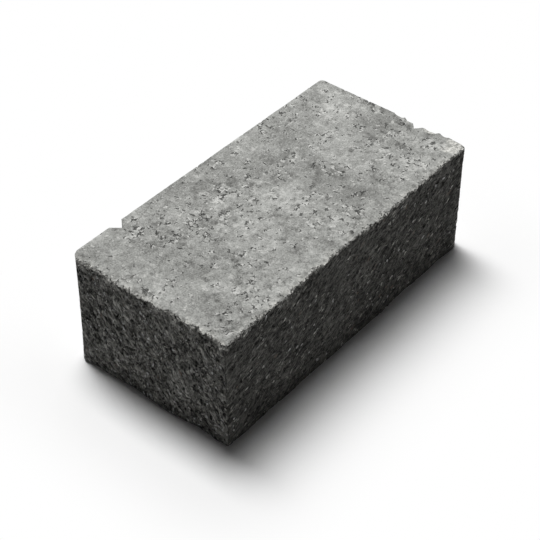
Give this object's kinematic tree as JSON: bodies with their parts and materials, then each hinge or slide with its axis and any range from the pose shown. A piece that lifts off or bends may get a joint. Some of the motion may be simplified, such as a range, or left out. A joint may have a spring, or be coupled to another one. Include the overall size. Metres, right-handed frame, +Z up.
{
  "type": "corner wall block",
  "caption": "Solid rectangular concrete corner block for dry-laid garden walls, with two rough split faces and two plain moulded faces crossed by V-grooves.",
  "frame": {"origin": "middle of the underside, the face that beds on the course below", "axes": "+Z up through the height; +X along the length, from the split end to the moulded end; +Y across the depth, from the long split face to the moulded back"},
  "size_m": [0.45, 0.225, 0.15],
  "materials": {
    "concrete": "dry-cast concrete, moulded faces fine-grained and matt grey, split faces coarse and charcoal"
  },
  "bodies": {
    "root": {"corner_wall_block": "concrete"}
  },
  "joints": []
}
